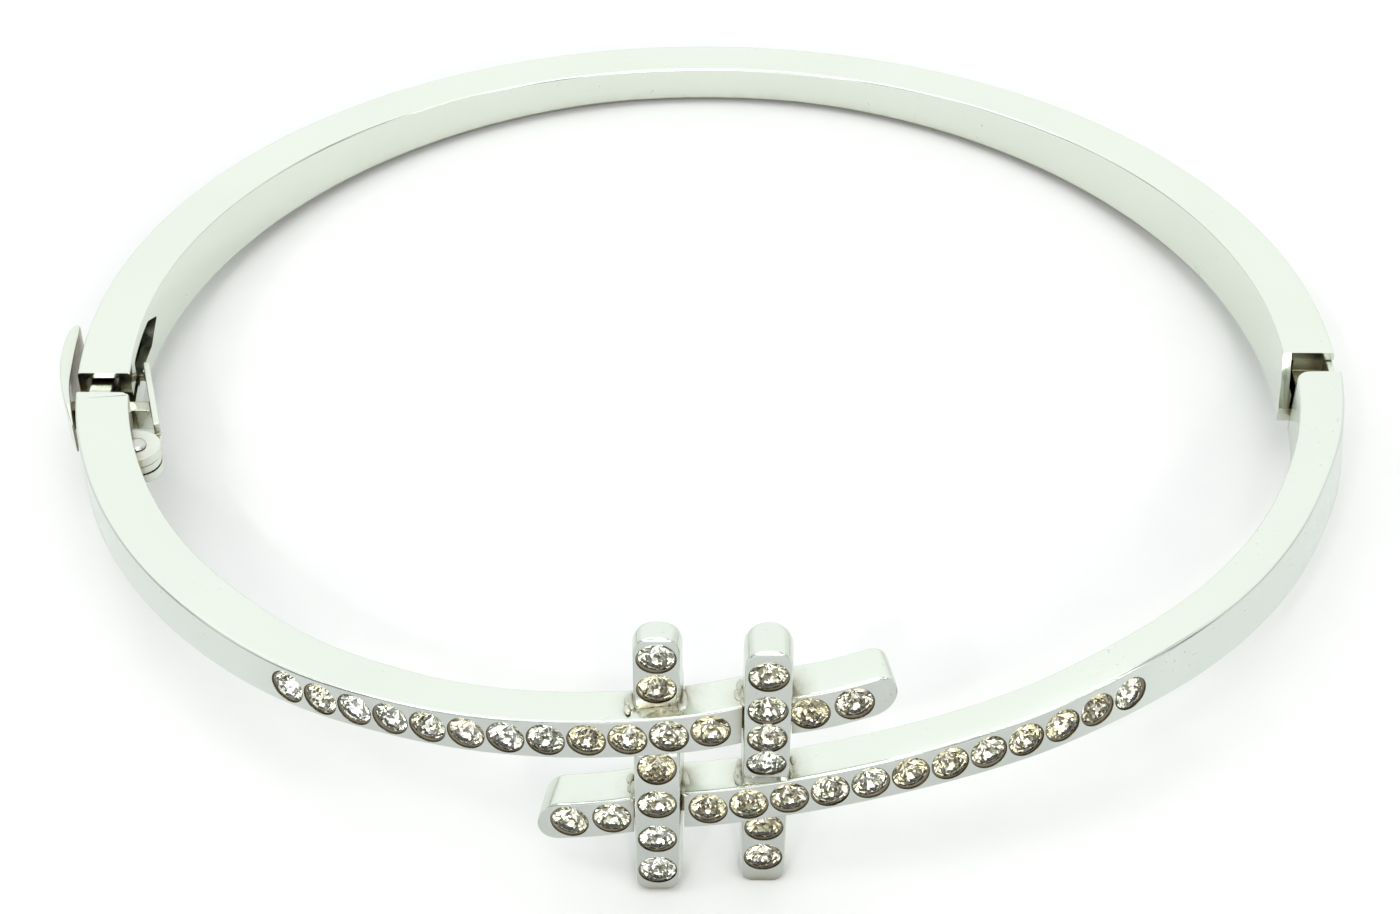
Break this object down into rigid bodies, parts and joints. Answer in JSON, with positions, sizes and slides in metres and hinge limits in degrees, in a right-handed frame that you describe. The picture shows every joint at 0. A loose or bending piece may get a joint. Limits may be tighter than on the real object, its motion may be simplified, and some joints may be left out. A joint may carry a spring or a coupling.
{
  "type": "hinged bangle bracelet",
  "caption": "Hinged oval bangle with a woven crossing-bar front set with small round crystals, side hinge and thumb-lever clasp.",
  "frame": {"origin": "centre of the closed bangle's bounding box", "axes": "+X from the clasp to the hinge, +Y from the lattice front to the plain back, +Z along the wrist"},
  "size_m": [0.0646, 0.0562, 0.0152],
  "materials": {
    "plated_metal": "bright rhodium-look plate, slightly cool",
    "pin_steel": "drawn wire",
    "crystal": "clear faceted glass with a champagne foil back"
  },
  "bodies": {
    "back_half": {"back_band": "plated_metal", "hinge_pin": "pin_steel"},
    "front_half": {"upper_strand": "plated_metal", "lower_strand": "plated_metal", "left_cross_bar": "plated_metal", "right_cross_bar": "plated_metal", "hinge_knuckle": "plated_metal", "clasp_tongue": "plated_metal", "lever_bracket": "plated_metal", "lever_pin": "pin_steel", "lever_spring": "pin_steel", "upper_stone_01": "crystal", "upper_stone_02": "crystal", "upper_stone_03": "crystal", "upper_stone_04": "crystal", "upper_stone_05": "crystal", "upper_stone_06": "crystal", "upper_stone_07": "crystal", "upper_stone_08": "crystal", "upper_stone_09": "crystal", "upper_stone_10": "crystal", "upper_stone_11": "crystal", "upper_stone_12": "crystal", "upper_stone_13": "crystal", "upper_stone_14": "crystal", "lower_stone_01": "crystal", "lower_stone_02": "crystal", "lower_stone_03": "crystal", "lower_stone_04": "crystal", "lower_stone_05": "crystal", "lower_stone_06": "crystal", "lower_stone_07": "crystal", "lower_stone_08": "crystal", "lower_stone_09": "crystal", "lower_stone_10": "crystal", "lower_stone_11": "crystal", "lower_stone_12": "crystal", "lower_stone_13": "crystal", "lower_stone_14": "crystal", "left_bar_stone_01": "crystal", "left_bar_stone_02": "crystal", "left_bar_stone_03": "crystal", "left_bar_stone_04": "crystal", "left_bar_stone_05": "crystal", "left_bar_stone_06": "crystal", "right_bar_stone_01": "crystal", "right_bar_stone_02": "crystal", "right_bar_stone_03": "crystal", "right_bar_stone_04": "crystal", "right_bar_stone_05": "crystal", "right_bar_stone_06": "crystal"},
    "lever": {"clasp_lever": "plated_metal", "thumb_leaf": "plated_metal"}
  },
  "joints": [
    {"name": "bangle_hinge", "type": "hinge", "parent": "back_half", "child": "front_half", "pos_m": [0.03077, 0.00043, 0.00013], "axis": [0, 0, 1], "range_deg": [0, 45]},
    {"name": "lever_press", "type": "hinge", "parent": "front_half", "child": "lever", "pos_m": [-0.02738, -0.00732, 0.00013], "axis": [0, 0, -1], "range_deg": [0, 3.5], "stiffness_Nm_per_rad": 0.1, "springref_deg": -5.73}
  ]
}
